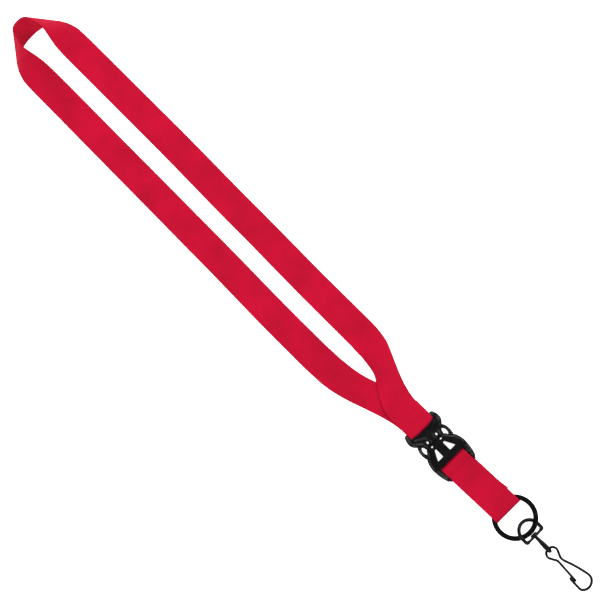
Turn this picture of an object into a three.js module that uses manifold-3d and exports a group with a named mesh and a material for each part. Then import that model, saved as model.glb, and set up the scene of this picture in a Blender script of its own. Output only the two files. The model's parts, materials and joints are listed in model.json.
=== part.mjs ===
// A neck lanyard laid flat: a 20 mm ribbon loop, a detachable side-squeeze buckle, a short strap,
// a key ring and a swivel hook. Millimetres. X is across the lanyard, +Y runs from the hook to the
// neck, +Z is up, and the lanyard lies on the plane z = 0. Lengths along the lanyard are stated
// from the top of the buckle's collar, and one group moves them to the middle of the footprint.
import * as THREE from "three";
import { mergeVertices } from "three/addons/utils/BufferGeometryUtils.js";
import Module from "manifold-3d";

const wasm = await Module();
wasm.setup();

// The ribbon
const STRAP_WIDTH = 20;
const STRAP_THICK = 0.9;
const TOUCH_GAP = 0.3;
const LAYER = STRAP_THICK + TOUCH_GAP;
const FLAT_Z = STRAP_THICK / 2 + 0.02;

// The neck loop
const STRAND_X = 16;
const ARCH_STEPS = 4;

// The loop's top, where each strand rolls onto its edge and folds round into the other: points of
// the right strand's inner and outer edges, from the arch's middle to where the strand lies flat.
const ARCH_EDGES = [
  [[0, 382.7, 19.2], [0, 376.5, 0.2]],
  [[1.9, 382.6, 19.1], [5, 376.25, 0.2]],
  [[3.7, 382.3, 18.8], [10.5, 375, 0.2]],
  [[5.2, 381.6, 18.3], [16.2, 372.2, 0.25]],
  [[6.2, 380.5, 17.8], [20.2, 369.7, 0.28]],
  [[6.9, 378, 17.1], [20.9, 368.8, 0.3]],
  [[7.8, 375, 16.5], [21.3, 368.2, 0.33]],
  [[8.8, 371.7, 15.9], [21.6, 367.7, 0.35]],
  [[9.15, 367.6, 15], [22, 366.9, 0.37]],
  [[8.4, 364, 13], [23.5, 363.9, 0.4]],
  [[7.4, 360.2, 9.2], [24.8, 360, 0.43]],
  [[6.5, 356, 5.2], [25.6, 356, 0.46]],
  [[6.1, 350, 2], [25.9, 350, 0.47]],
  [[6, 342, 0.6], [26, 342, 0.47]],
  [[6, 334, 0.47], [26, 334, 0.47]],
];
const MERGE_START_Y = 68;
const MERGE_END_Y = 2;
const OVERLAP_START_Y = 105;
const OVERLAP_FULL_Y = 45;
const TAIL_END_Y = 12;
const TAIL_CLEAR_Y = 26;

// The buckle
const BUCKLE_HEIGHT = 8;
const BUCKLE_MID_Z = BUCKLE_HEIGHT / 2;
const SLOT_HALF_WIDTH = 10.5;
const MALE_BAR_Y = -3;
const MALE_BAR_RADIUS = 1.4;
const COLLAR_SLOT_Y = -5.95;
const HUB_END_Y = -15.1;
const TONGUE_HALF_WIDTH = 2.2;
const TONGUE_END_Y = -26;
const ARM_HALF_HEIGHT = 1.6;
const ARM_FLOOR_CLEARANCE = 0.3;
const FEMALE_TOP_Y = -15.4;
const FEMALE_BLOCK_Y = -27;
const FEMALE_BODY_END_Y = -29.8;
const SIDE_WALL_X = 12.2;
const SIDE_WALL_Y = -22.6;
const FEMALE_BAR_Y = -32.4;
const FEMALE_BAR_RADIUS = 1.1;
const D_END_Y = -42.15;
const D_BAR_Y = -40.3;
const D_BAR_TOP_Z = 1.8;

// The short strap
const SHORT_FOLD_Y = -76.54;
const SHORT_BEND_Y = -36;
const SHORT_SLANT = 0.0465;
const SHORT_SEAM_Y = -67;
const NECK_SEAM_Y = 8.5;
const THREAD_RADIUS = 0.2;
const TACK_HALF_WIDTH = 8.6;
const TACK_REACH = 0.9;
const TACK_TURNS = 22;

// The ring and the swivel hook
const RING_X = 1.8;
const RING_Y = -84.1;
const RING_OUTER = 14.25;
const RING_INNER = 11.9;
const RING_HALF_THICK = 1.1;
const RING_Z = 3.8;
const SWIVEL_X = 2.5;
const BAIL_ROLL = THREE.MathUtils.degToRad(22);
const BAIL_HALF_SPAN = 7.1;
const BAIL_WIRE = 0.95;
const BAIL_ARC_Y = -97.3;
const BAIL_BAR_TOP_Y = -100.55;
const BAIL_BAR_THICK = 1.2;
const BAIL_BAR_HALF_DEPTH = 0.85;
const BAIL_EYE_RADIUS = 2.1;
const BAIL_HOLE_RADIUS = 1.25;
const CROSS_HOLE_Y = -113;
const CROSS_HOLE_RADIUS = 0.8;
const HOOK_WIRE = 0.55;
const HOOK_DROOP = THREE.MathUtils.degToRad(5.4);

// Where the middle of the footprint lies, from the collar's top
const FOOTPRINT_MIDDLE_Y = 117.6;

const ribbonRed = { color: 0xc41230, roughness: 0.75, metalness: 0 };
const threadRed = { color: 0xa80e28, roughness: 0.8, metalness: 0 };
const blackPlastic = { color: 0x0c0c0d, roughness: 0.35, metalness: 0 };
const blackMetal = { color: 0x101112, roughness: 0.4, metalness: 0.8 };

// ---------------------------------------------------------------- solids

function toSolid(geometry) {
  const bare = new THREE.BufferGeometry();
  bare.setAttribute("position", geometry.getAttribute("position"));
  if (geometry.index) bare.setIndex(geometry.index);
  const merged = mergeVertices(bare, 1e-4);
  return new wasm.Manifold(
    new wasm.Mesh({
      numProp: 3,
      vertProperties: merged.attributes.position.array,
      triVerts: new Uint32Array(merged.index.array),
    }),
  );
}

function toGeometry(solid) {
  const mesh = solid.getMesh();
  const geometry = new THREE.BufferGeometry();
  geometry.setAttribute("position", new THREE.BufferAttribute(mesh.vertProperties, 3));
  geometry.setIndex(new THREE.BufferAttribute(mesh.triVerts, 1));
  const flat = geometry.toNonIndexed();
  flat.computeVertexNormals();
  return flat;
}

function piece(name, solid, look) {
  const mesh = new THREE.Mesh(toGeometry(solid), new THREE.MeshStandardMaterial(look));
  mesh.name = name;
  return mesh;
}

function block(x0, x1, y0, y1, z0, z1) {
  const box = new THREE.BoxGeometry(x1 - x0, y1 - y0, z1 - z0);
  return toSolid(box.translate((x0 + x1) / 2, (y0 + y1) / 2, (z0 + z1) / 2));
}

function rodAlongX(radius, halfLength, x, y, z) {
  const rod = new THREE.CylinderGeometry(radius, radius, 2 * halfLength, 24);
  return toSolid(rod.rotateZ(Math.PI / 2).translate(x, y, z));
}

function rodAlongZ(radius, x, y, z0, z1) {
  const rod = new THREE.CylinderGeometry(radius, radius, z1 - z0, 20);
  return toSolid(rod.rotateX(Math.PI / 2).translate(x, y, (z0 + z1) / 2));
}

// A closed outline from the right half of it, listed from the top's middle to the bottom's middle.
function mirroredShape(rightHalf, steps = 28) {
  const curve = new THREE.SplineCurve(rightHalf.map(([x, y]) => new THREE.Vector2(x, y)));
  const right = curve.getSpacedPoints(steps);
  right[0].x = 0;
  right[steps].x = 0;
  const left = right.slice(1, -1).reverse();
  return new THREE.Shape([...right, ...left.map((p) => new THREE.Vector2(-p.x, p.y))]);
}

function plate(shape, z0, z1, edge = 0) {
  const geometry = new THREE.ExtrudeGeometry(shape, {
    depth: z1 - z0 - 2 * edge,
    curveSegments: 8,
    bevelEnabled: edge > 0,
    bevelThickness: edge,
    bevelSize: edge,
    bevelOffset: -edge,
    bevelSegments: 1,
  });
  return toSolid(geometry.translate(0, 0, z0 + edge));
}

// A profile drawn in Y (along the strap) and Z (up), made as wide as the ribbon.
function acrossStrap(shape, width = STRAP_WIDTH) {
  const geometry = new THREE.ExtrudeGeometry(shape, {
    depth: width,
    curveSegments: 10,
    bevelEnabled: false,
  });
  const turn = new THREE.Matrix4().set(0, 0, 1, -width / 2, 1, 0, 0, 0, 0, 1, 0, 0, 0, 0, 0, 1);
  return geometry.applyMatrix4(turn);
}

function wire(points, radius, steps, halfSides = 4) {
  const section = new THREE.Shape();
  section.absarc(0, 0, radius, 0, 2 * Math.PI);
  const path = new THREE.CatmullRomCurve3(points.map(([x, y, z = 0]) => new THREE.Vector3(x, y, z)));
  const geometry = new THREE.ExtrudeGeometry(section, {
    steps,
    curveSegments: halfSides,
    bevelEnabled: false,
    extrudePath: path,
  });
  return toSolid(geometry);
}

const smooth = (t) => THREE.MathUtils.smoothstep(t, 0, 1);

// ---------------------------------------------------------------- neck strap

// Cross-sections of the ribbon are stated by their middle and by the way from it to the inner edge.
const mirrorSection = ({ centre, across }) => ({
  centre: new THREE.Vector3(-centre.x, centre.y, centre.z),
  across: new THREE.Vector3(-across.x, across.y, across.z),
});

// The right half of the arch, from its middle down to the flat strand.
function archSections() {
  const flip = (edges) => edges.map(([x, y, z]) => [-x, y, z]);
  const stations = [...ARCH_EDGES.slice(1).reverse().map(flip), ...ARCH_EDGES];
  const edge = (which) => {
    const points = stations.map((edges) => new THREE.Vector3(...edges[which]));
    return new THREE.CatmullRomCurve3(points, false, "catmullrom").getPoints(
      (stations.length - 1) * ARCH_STEPS,
    );
  };
  const inner = edge(0);
  const outer = edge(1);
  const sections = inner.map((point, i) => ({
    centre: point.clone().add(outer[i]).multiplyScalar(0.5),
    across: point.clone().sub(outer[i]).multiplyScalar(0.5),
  }));
  return sections.slice((ARCH_EDGES.length - 1) * ARCH_STEPS);
}

// The right strand as it lies flat. It closes on the left one and rests on the ribbon's sewn tail.
function strandSection(y) {
  const merged = smooth((MERGE_START_Y - y) / (MERGE_START_Y - MERGE_END_Y));
  const nextMerged = smooth((MERGE_START_Y - y + 0.5) / (MERGE_START_Y - MERGE_END_Y));
  const heading = Math.atan2(2 * STRAND_X * (nextMerged - merged), 1);
  const overTail = LAYER * smooth((TAIL_CLEAR_Y - y) / (TAIL_CLEAR_Y - TAIL_END_Y));
  const across = new THREE.Vector3(-Math.cos(heading), Math.sin(heading), 0);
  return {
    centre: new THREE.Vector3(STRAND_X * (1 - merged), y, FLAT_Z + overTail),
    across: across.multiplyScalar(STRAP_WIDTH / 2),
  };
}

// The right strand climbs onto the left one where the two overlap.
function climb({ centre, across }) {
  const overlapped = smooth((OVERLAP_START_Y - centre.y) / (OVERLAP_START_Y - OVERLAP_FULL_Y));
  return { centre: centre.clone().setZ(centre.z + LAYER * overlapped), across };
}

// The right strand's end: over the collar's bar and back beneath both strands. Each point is a Y
// and a Z of the ribbon's middle.
function barWrap() {
  const radius = MALE_BAR_RADIUS + TOUCH_GAP + STRAP_THICK / 2;
  const path = [[6, 3.05], [4, 3.7], [2, 4.7], [0, 5.6]];
  for (let i = 0; i <= 12; i++) {
    const angle = Math.PI / 2 + (i * Math.PI) / 12;
    path.push([MALE_BAR_Y + radius * Math.cos(angle), BUCKLE_MID_Z + radius * Math.sin(angle)]);
  }
  path.push([-0.5, 1.4], [2, 0.7], [4, FLAT_Z], [TAIL_END_Y, FLAT_Z]);
  return path.map(([y, z]) => ({
    centre: new THREE.Vector3(0, y, z),
    across: new THREE.Vector3(-STRAP_WIDTH / 2, 0, 0),
  }));
}

function ribbonSolid(sections) {
  const corners = [
    [-1, -1],
    [1, -1],
    [1, 1],
    [-1, 1],
  ];
  const positions = [];
  sections.forEach(({ centre, across }, i) => {
    const before = sections[Math.max(0, i - 1)].centre;
    const after = sections[Math.min(sections.length - 1, i + 1)].centre;
    const face = across.clone().cross(after.clone().sub(before)).normalize();
    for (const [side, layer] of corners) {
      const corner = centre.clone().addScaledVector(across, side);
      corner.addScaledVector(face, (layer * STRAP_THICK) / 2);
      positions.push(corner.x, corner.y, corner.z);
    }
  });
  const index = [0, 2, 1, 0, 3, 2];
  for (let i = 0; i < sections.length - 1; i++)
    for (let j = 0; j < 4; j++) {
      const a = 4 * i + j;
      const b = 4 * i + ((j + 1) % 4);
      index.push(a, b, b + 4, a, b + 4, a + 4);
    }
  const last = 4 * (sections.length - 1);
  index.push(last, last + 1, last + 2, last, last + 2, last + 3);
  const geometry = new THREE.BufferGeometry();
  geometry.setAttribute("position", new THREE.BufferAttribute(new Float32Array(positions), 3));
  geometry.setIndex(index);
  const solid = toSolid(geometry);
  if (solid.volume() > 0) return solid;
  geometry.setIndex(index.reverse());
  return toSolid(geometry);
}

function neckStrap() {
  const right = archSections();
  for (const y of [310, 250, 190, 130, OVERLAP_START_Y, 85]) right.push(strandSection(y));
  for (let y = MERGE_START_Y; y > 3; y -= 4) right.push(strandSection(y));
  const left = right.slice(1).reverse().map(mirrorSection);
  return ribbonSolid([...left, ...right.slice(0, -1).map(climb), ...barWrap()]);
}

// ---------------------------------------------------------------- buckle

// Collar, bar, hub and tongue: the half of the buckle that stays on the neck strap.
function maleFrame() {
  const shape = mirroredShape([
    [0, 0.2],
    [6, 0.2],
    [9.8, 0.3],
    [11.7, -0.6],
    [12.85, -2.9],
    [13.1, -5],
    [12.85, -7.1],
    [11.7, -9],
    [10, -10.3],
    [8.2, -11.7],
    [6.9, -13.2],
    [6.1, HUB_END_Y],
    [3, HUB_END_Y],
    [0, HUB_END_Y],
  ], 36);
  let frame = plate(shape, 0.4, BUCKLE_HEIGHT - 0.4, 0.7);
  frame = frame.subtract(block(-SLOT_HALF_WIDTH, SLOT_HALF_WIDTH, COLLAR_SLOT_Y, 3, -1, BUCKLE_HEIGHT + 1));
  for (const side of [-1, 1]) frame = frame.subtract(rodAlongZ(1, side * 4, -12.9, -1, BUCKLE_HEIGHT + 1));
  frame = frame.add(rodAlongX(MALE_BAR_RADIUS, SLOT_HALF_WIDTH + 1, 0, MALE_BAR_Y, BUCKLE_MID_Z));
  const tongueZ = ARM_HALF_HEIGHT - 0.1;
  return frame.add(
    block(
      -TONGUE_HALF_WIDTH,
      TONGUE_HALF_WIDTH,
      TONGUE_END_Y,
      HUB_END_Y + 1,
      BUCKLE_MID_Z - tongueZ,
      BUCKLE_MID_Z + tongueZ,
    ),
  );
}

// A bowed squeeze arm: outer side down, inner side back up. side is 1 on the right.
function squeezeArm(side) {
  const outer = [
    [10.65, -10.55],
    [11.7, -13],
    [11.95, -16],
    [11.75, -19],
    [11.3, -21],
    [10.8, -23],
    [10.2, -26.3],
  ];
  const inner = [
    [8.9, -26.3],
    [9.1, -24],
    [9.7, -21.6],
    [10.4, -19],
    [10.75, -16],
    [10.4, -13.6],
    [9.35, -11.75],
  ];
  const along = (points) =>
    new THREE.SplineCurve(points.map(([x, y]) => new THREE.Vector2(side * x, y))).getPoints(14);
  const shape = new THREE.Shape([...along(outer), ...along(inner)]);
  return plate(shape, BUCKLE_MID_Z - ARM_HALF_HEIGHT, BUCKLE_MID_Z + ARM_HALF_HEIGHT);
}

function femaleOutline() {
  return mirroredShape([
    [0, FEMALE_TOP_Y],
    [3, FEMALE_TOP_Y],
    [5.6, FEMALE_TOP_Y - 0.1],
    [7.2, -16.3],
    [9, -18],
    [11.3, -20.7],
    [12.7, -22.9],
    [13.5, -26],
    [13.75, -28.3],
    [13.7, FEMALE_BODY_END_Y],
    [7, FEMALE_BODY_END_Y],
    [0, FEMALE_BODY_END_Y],
  ], 36);
}

function windowShape(side) {
  const corners = [
    [2.8, -19.6],
    [3.3, -19.1],
    [4.4, -19.1],
    [4.9, -19.6],
    [8.1, -25.8],
    [7.7, -26.4],
    [3.3, -26.4],
    [2.8, -25.9],
  ];
  return new THREE.Shape(corners.map(([x, y]) => new THREE.Vector2(side * x, y)));
}

// The D-shaped end that guards the short strap's bar.
function dOutline() {
  return mirroredShape([
    [0, -28.5],
    [7, -28.5],
    [12, -28.5],
    [13.4, -29.5],
    [13.5, -32],
    [12.9, -36],
    [11.8, -39],
    [10.3, -41.1],
    [8.2, D_END_Y],
    [4, D_END_Y],
    [0, D_END_Y],
  ], 30);
}

// The half of the buckle that leaves with the keys: two skeleton plates, side walls, bars and D.
function femaleFrame() {
  const shelf = BUCKLE_MID_Z - ARM_HALF_HEIGHT - ARM_FLOOR_CLEARANCE;
  const outline = femaleOutline();
  let frame = plate(outline, 0, shelf, 0.5).add(plate(outline, BUCKLE_HEIGHT - shelf, BUCKLE_HEIGHT, 0.5));
  const core = plate(outline, 0.5, BUCKLE_HEIGHT - 0.5).intersect(
    block(-13.3, 13.3, FEMALE_BODY_END_Y - 1, FEMALE_TOP_Y, 0, BUCKLE_HEIGHT),
  );
  frame = frame.add(core.intersect(block(-20, 20, FEMALE_BODY_END_Y - 1, FEMALE_BLOCK_Y, 0, BUCKLE_HEIGHT)));
  for (const side of [-1, 1]) {
    const near = side * SIDE_WALL_X;
    const far = side * 20;
    const wall = block(Math.min(near, far), Math.max(near, far), -35, SIDE_WALL_Y, 0, BUCKLE_HEIGHT);
    frame = frame.add(core.intersect(wall));
    frame = frame.subtract(plate(windowShape(side), -1, BUCKLE_HEIGHT + 1));
    frame = frame.subtract(rodAlongZ(0.95, side * 3.9, -16.9, -1, BUCKLE_HEIGHT + 1));
  }
  const d = plate(dOutline(), 0.8, BUCKLE_HEIGHT - 0.8, 0.7);
  const strapWay = block(-SLOT_HALF_WIDTH, SLOT_HALF_WIDTH, -50, FEMALE_BODY_END_Y, -1, 9);
  frame = frame.add(d.subtract(strapWay));
  const guard = plate(dOutline(), 0.2, D_BAR_TOP_Z, 0.3);
  frame = frame.add(guard.intersect(block(-20, 20, -50, D_BAR_Y, 0, 9)));
  return frame.add(rodAlongX(FEMALE_BAR_RADIUS, SLOT_HALF_WIDTH + 1, 0, FEMALE_BAR_Y, BUCKLE_MID_Z));
}

// ---------------------------------------------------------------- short strap

// A ribbon taken round the buckle's bar and the ring, its two layers sewn together in between.
function shortStrap() {
  const barInner = FEMALE_BAR_RADIUS + TOUCH_GAP;
  const barOuter = barInner + STRAP_THICK;
  const ringInner = RING_HALF_THICK + TOUCH_GAP;
  const ringOuter = ringInner + STRAP_THICK;
  const quarter = Math.PI / 2;
  const profile = new THREE.Shape();
  profile.moveTo(FEMALE_BAR_Y, BUCKLE_MID_Z - barOuter);
  profile.absarc(FEMALE_BAR_Y, BUCKLE_MID_Z, barOuter, -quarter, quarter, false);
  profile.lineTo(SHORT_BEND_Y, 5.5);
  profile.lineTo(-40, RING_Z + STRAP_THICK);
  profile.lineTo(-66, RING_Z + STRAP_THICK);
  profile.lineTo(-69.6, RING_Z + ringOuter);
  profile.lineTo(SHORT_FOLD_Y, RING_Z + ringOuter);
  profile.absarc(SHORT_FOLD_Y, RING_Z, ringOuter, quarter, 3 * quarter, false);
  profile.lineTo(-69.6, RING_Z - ringOuter);
  profile.lineTo(-66, RING_Z - STRAP_THICK);
  profile.lineTo(-40, RING_Z - STRAP_THICK);
  profile.lineTo(SHORT_BEND_Y, 2.6);
  const barEye = new THREE.Path();
  barEye.moveTo(-37.2, 3.9);
  barEye.lineTo(FEMALE_BAR_Y, BUCKLE_MID_Z + barInner);
  barEye.absarc(FEMALE_BAR_Y, BUCKLE_MID_Z, barInner, quarter, -quarter, true);
  const ringEye = new THREE.Path();
  ringEye.moveTo(-68.4, RING_Z);
  ringEye.lineTo(-69.5, RING_Z - ringInner);
  ringEye.lineTo(SHORT_FOLD_Y, RING_Z - ringInner);
  ringEye.absarc(SHORT_FOLD_Y, RING_Z, ringInner, 3 * quarter, quarter, true);
  ringEye.lineTo(-69.5, RING_Z + ringInner);
  profile.holes.push(barEye, ringEye);
  const geometry = acrossStrap(profile);
  const position = geometry.getAttribute("position");
  for (let i = 0; i < position.count; i++)
    position.setX(i, position.getX(i) + SHORT_SLANT * Math.max(0, SHORT_BEND_Y - position.getY(i)));
  return toSolid(geometry);
}

// A bar tack: one thread laid zigzag across the strap.
function barTack(x, y, z) {
  const points = [];
  for (let i = 0; i <= TACK_TURNS; i++) {
    const side = i % 2 ? 1 : -1;
    points.push([x + TACK_HALF_WIDTH * ((2 * i) / TACK_TURNS - 1), y + side * TACK_REACH, z]);
  }
  return wire(points, THREAD_RADIUS, TACK_TURNS * 2, 3);
}

// ---------------------------------------------------------------- ring and hook

// A flat-wire key ring of two coils, which the groove round its rim divides.
function keyRing() {
  const edge = 0.3;
  const groove = 0.35;
  const profile = [
    [RING_INNER, -RING_HALF_THICK + edge],
    [RING_INNER + edge, -RING_HALF_THICK],
    [RING_OUTER - edge, -RING_HALF_THICK],
    [RING_OUTER, -RING_HALF_THICK + edge],
    [RING_OUTER, -0.12],
    [RING_OUTER - groove, 0],
    [RING_OUTER, 0.12],
    [RING_OUTER, RING_HALF_THICK - edge],
    [RING_OUTER - edge, RING_HALF_THICK],
    [RING_INNER + edge, RING_HALF_THICK],
    [RING_INNER, RING_HALF_THICK - edge],
    [RING_INNER, -RING_HALF_THICK + edge],
  ];
  const ring = new THREE.LatheGeometry(profile.map(([r, z]) => new THREE.Vector2(r, z)), 56);
  return toSolid(ring.rotateX(Math.PI / 2));
}

// The swivel's stirrup, in its own plane: a half-round bow, two legs and a drilled flat foot.
function bail() {
  const bow = [];
  const bowSteps = 14;
  const footY = BAIL_BAR_TOP_Y - BAIL_BAR_THICK / 2 - BAIL_ARC_Y;
  bow.push([BAIL_HALF_SPAN, footY], [BAIL_HALF_SPAN, footY / 2]);
  for (let i = 0; i <= bowSteps; i++) {
    const angle = (Math.PI * i) / bowSteps;
    bow.push([BAIL_HALF_SPAN * Math.cos(angle), BAIL_HALF_SPAN * Math.sin(angle)]);
  }
  bow.push([-BAIL_HALF_SPAN, footY / 2], [-BAIL_HALF_SPAN, footY]);
  const half = BAIL_HALF_SPAN + BAIL_WIRE * 0.6;
  const top = BAIL_BAR_TOP_Y - BAIL_ARC_Y;
  const foot = block(-half, half, top - BAIL_BAR_THICK, top, -BAIL_BAR_HALF_DEPTH, BAIL_BAR_HALF_DEPTH);
  const eye = new THREE.CylinderGeometry(BAIL_EYE_RADIUS, BAIL_EYE_RADIUS, BAIL_BAR_THICK, 20);
  const drill = new THREE.CylinderGeometry(BAIL_HOLE_RADIUS, BAIL_HOLE_RADIUS, 6, 20);
  return wire(bow, BAIL_WIRE, 36)
    .add(foot)
    .add(toSolid(eye.translate(0, top - BAIL_BAR_THICK / 2, 0)))
    .subtract(toSolid(drill.translate(0, top, 0)));
}

// The swivel's post: a head inside the bail, a barrel below it and a cross hole for the hook.
function swivelPost() {
  const profile = [
    [0, -115.5],
    [0.85, -115.1],
    [1.25, -113.8],
    [1.45, -111.8],
    [1.4, -108.5],
    [1.1, -104.5],
    [0.95, -102.1],
    [0.95, -100.25],
    [2.3, -100.2],
    [2.3, -99.6],
    [1.9, -99.2],
    [0, -99.2],
  ];
  const post = new THREE.LatheGeometry(profile.map(([r, y]) => new THREE.Vector2(r, y)), 20);
  return toSolid(post).subtract(rodAlongX(CROSS_HOLE_RADIUS, 3, 0, CROSS_HOLE_Y, 0));
}

// The hook's wire, from the flexing waist through the cross hole and round to the catch.
function hookWire() {
  const route = [
    [-0.9, -122.3],
    [-1.35, -121.1],
    [-3, -118.4],
    [-4.1, -116],
    [-3.6, -114],
    [-2.1, -113.02],
    [0, CROSS_HOLE_Y],
    [2.1, -113.02],
    [3.6, -114],
    [4.1, -116],
    [3.2, -118.6],
    [2.05, -121.1],
    [1.8, -122.9],
    [2.3, -125.2],
    [4.4, -131.2],
    [6.2, -138.2],
    [6.8, -142],
    [6.1, -144.5],
    [3.9, -146.5],
    [1.2, -147.2],
    [-1.5, -146.5],
    [-3.35, -144.6],
    [-3.5, -142.5],
    [-3.35, -136],
  ];
  const catchBlock = block(-3.9, -1.5, -138.4, -134.8, -1.2, 1.2);
  const catchSlot = block(-2.75, 0, -140, -133, -0.8, 0.8);
  return wire(route, HOOK_WIRE, 76).add(catchBlock.subtract(catchSlot));
}

// The straight arm of the same wire that closes the hook and springs inwards.
function gateWire() {
  return wire(
    [
      [-0.92, -123],
      [-1.15, -127],
      [-1.75, -138.2],
    ],
    HOOK_WIRE,
    10,
  );
}

// ---------------------------------------------------------------- assembly

const onBuckle = new THREE.Group();
onBuckle.add(
  piece("neck_strap", neckStrap(), ribbonRed),
  piece("neck_seam_thread", barTack(0, NECK_SEAM_Y, 3.95), threadRed),
  piece("buckle_male_frame", maleFrame(), blackPlastic),
  piece("squeeze_arm_left", squeezeArm(-1), blackPlastic),
  piece("squeeze_arm_right", squeezeArm(1), blackPlastic),
  piece("buckle_female_frame", femaleFrame(), blackPlastic),
  piece("short_strap", shortStrap(), ribbonRed),
  piece("short_seam_thread", barTack(1.45, SHORT_SEAM_Y, 6), threadRed),
);

const ring = piece("key_ring", keyRing(), blackMetal);
ring.position.set(RING_X, RING_Y, RING_Z);

const swivel = new THREE.Group();
swivel.position.set(SWIVEL_X, 0, RING_Z);
const stirrup = piece("swivel_bail", bail(), blackMetal);
stirrup.position.y = BAIL_ARC_Y;
stirrup.rotation.y = BAIL_ROLL;
swivel.add(stirrup, piece("swivel_post", swivelPost(), blackMetal));

// The hook droops from the cross hole until its bend rests on the surface.
const hook = new THREE.Group();
hook.position.set(0, CROSS_HOLE_Y, 0);
hook.rotation.x = HOOK_DROOP;
const hookPieces = [
  piece("hook_wire", hookWire(), blackMetal),
  piece("hook_gate_wire", gateWire(), blackMetal),
];
for (const part of hookPieces) part.position.y = -CROSS_HOLE_Y;
hook.add(...hookPieces);
swivel.add(hook);

const lanyard = new THREE.Group();
lanyard.name = "lanyard";
lanyard.add(onBuckle, ring, swivel);
lanyard.position.y = -FOOTPRINT_MIDDLE_Y;

export default lanyard;
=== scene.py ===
"""Looks of a red neck lanyard with a black side-squeeze buckle, a key ring and a swivel hook.

Lengths are written in millimetres. X is across the lanyard, Y runs towards the neck and counts
from the top of the buckle's collar, and Z is up from the surface the lanyard lies on.
"""
import json
import math

import bpy
import numpy as np
from mathutils import Matrix, Vector, noise
from mathutils.geometry import tessellate_polygon


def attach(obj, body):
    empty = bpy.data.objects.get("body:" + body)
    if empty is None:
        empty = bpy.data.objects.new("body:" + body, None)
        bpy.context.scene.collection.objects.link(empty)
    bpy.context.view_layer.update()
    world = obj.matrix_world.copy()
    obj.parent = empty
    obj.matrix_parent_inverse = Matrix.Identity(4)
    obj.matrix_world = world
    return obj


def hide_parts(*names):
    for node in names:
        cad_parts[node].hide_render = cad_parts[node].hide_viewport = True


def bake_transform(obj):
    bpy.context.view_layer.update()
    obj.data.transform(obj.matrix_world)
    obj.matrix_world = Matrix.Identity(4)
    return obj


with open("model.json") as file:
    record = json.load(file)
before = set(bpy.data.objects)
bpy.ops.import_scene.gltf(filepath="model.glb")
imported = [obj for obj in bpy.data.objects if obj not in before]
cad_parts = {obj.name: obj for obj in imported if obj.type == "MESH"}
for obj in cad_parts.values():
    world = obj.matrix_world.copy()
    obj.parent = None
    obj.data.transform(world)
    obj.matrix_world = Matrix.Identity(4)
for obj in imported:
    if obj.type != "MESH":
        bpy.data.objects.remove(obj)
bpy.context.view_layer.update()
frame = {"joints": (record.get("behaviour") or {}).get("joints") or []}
scene = bpy.context.scene

MM = 0.001
JOINTS = {j["name"]: j for j in frame["joints"]}
BAR_Y = -3.0
COLLAR_TOP = JOINTS["buckle_pivot"]["pos_m"][1] / MM - BAR_Y


def point(x, y, z):
    """A point of the lanyard, from millimetres counted from the collar's top to the row frame."""
    return Vector((x, y + COLLAR_TOP, z)) * MM


def smooth(t):
    t = min(max(t, 0.0), 1.0)
    return t * t * (3 - 2 * t)


# ---------------------------------------------------------------- materials


class Nodes:
    """Short calls for a material's node tree."""

    def __init__(self, name):
        self.material = bpy.data.materials.new(name)
        self.material.use_nodes = True
        self.tree = self.material.node_tree
        self.shader = self.tree.nodes["Principled BSDF"]

    def new(self, kind, **settings):
        node = self.tree.nodes.new("ShaderNode" + kind)
        for key, value in settings.items():
            setattr(node, key, value)
        return node

    def put(self, socket, value):
        if isinstance(value, bpy.types.NodeSocket):
            self.tree.links.new(value, socket)
        else:
            socket.default_value = value

    def math(self, operation, a, b=0.0, c=0.0):
        node = self.new("Math", operation=operation)
        for socket, value in zip(node.inputs, (a, b, c)):
            self.put(socket, value)
        return node.outputs[0]

    def coordinates(self):
        return self.new("TexCoord").outputs["Object"]

    def stretched(self, vector, scale):
        node = self.new("Mapping")
        self.put(node.inputs["Vector"], vector)
        node.inputs["Scale"].default_value = scale
        return node.outputs[0]

    def noise(self, vector, scale, detail=2.0, roughness=0.5):
        node = self.new("TexNoise")
        self.put(node.inputs["Vector"], vector)
        node.inputs["Scale"].default_value = scale
        node.inputs["Detail"].default_value = detail
        node.inputs["Roughness"].default_value = roughness
        return node.outputs["Fac"]

    def range(self, value, low, high, to_low, to_high):
        node = self.new("MapRange", interpolation_type="SMOOTHSTEP")
        for socket, number in zip(node.inputs, (value, low, high, to_low, to_high)):
            self.put(socket, number)
        return node.outputs[0]

    def mix(self, factor, a, b):
        node = self.new("Mix", data_type="RGBA")
        self.put(node.inputs["Factor"], factor)
        for socket, colour in zip((node.inputs[6], node.inputs[7]), (a, b)):
            self.put(socket, colour if isinstance(colour, bpy.types.NodeSocket) else (*colour, 1))
        return node.outputs[2]

    def bump(self, height, distance, strength=1.0, normal=None):
        node = self.new("Bump")
        self.put(node.inputs["Height"], height)
        node.inputs["Distance"].default_value = distance
        node.inputs["Strength"].default_value = strength
        if normal is not None:
            self.put(node.inputs["Normal"], normal)
        return node.outputs[0]

    def finish(self, **inputs):
        for name, value in inputs.items():
            self.put(self.shader.inputs[name.replace("_", " ")], value)
        return self.material


RED = (0.46, 0.0023, 0.026)
RED_DEEP = (0.345, 0.0018, 0.0195)
# the next red is painted shade for the ribbon's edges, where they turn away from the light
RED_EDGE_SHADE = (0.17, 0.0011, 0.011)
# the thread's red is painted lighter than the ribbon's to make up for the shade the stitches sit
# in
THREAD_RED_LIT = (0.56, 0.0028, 0.032)
PLASTIC_BLACK = (0.0012, 0.0012, 0.0014)
PLASTIC_CLOUD = (0.003, 0.003, 0.0034)
PLASTIC_WORN = (0.012, 0.012, 0.013)
LACQUER_BLACK = (0.0015, 0.0015, 0.0018)
LACQUER_CLOUD = (0.004, 0.004, 0.0046)
LACQUER_WORN = (0.03, 0.03, 0.033)
YARN = 0.00042
# where the painted edge shade begins and reaches full strength, counted from the ribbon's middle
SHADED_EDGE_START, SHADED_EDGE_END = 0.0099, 0.0103
WEAVE_LAYER = "weave"


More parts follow.
